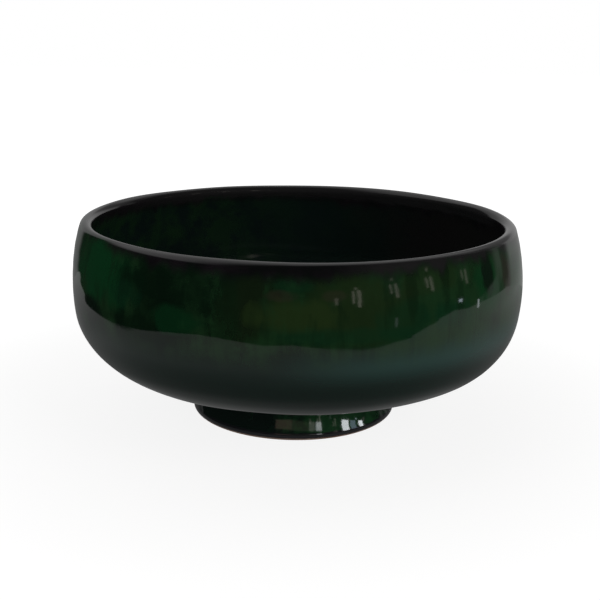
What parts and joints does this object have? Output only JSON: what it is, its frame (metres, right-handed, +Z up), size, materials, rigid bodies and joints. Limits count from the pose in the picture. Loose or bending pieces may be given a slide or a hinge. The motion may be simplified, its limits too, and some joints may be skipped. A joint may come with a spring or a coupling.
{
  "type": "footed bowl",
  "caption": "Wide open thrown bowl with a gently incurved wall, rounded belly and low flared foot ring; stands on a table and holds loose things or food.",
  "frame": {"origin": "centre of the foot ring's standing face, on the surface that the bowl stands on", "axes": "+Z up along the axis that the bowl is turned about, out through its mouth; X and Y lie in the surface that it stands on and are free, because the bowl is round"},
  "size_m": [0.2, 0.2, 0.089],
  "materials": {
    "bare_clay": "matte fired earthenware, unglazed, pinkish brown",
    "green_glaze": "glossy deep green glaze, mottled towards olive and brown",
    "rim_glaze_dark": "glossy purplish brown-black glaze with uneven lower edge"
  },
  "bodies": {
    "root": {"bowl_body": "bare_clay", "luting_slip": "bare_clay", "foot_ring": "bare_clay", "outer_glaze": "green_glaze", "inner_glaze": "green_glaze", "foot_glaze": "green_glaze", "base_glaze": "green_glaze", "rim_glaze": "rim_glaze_dark"}
  },
  "joints": []
}
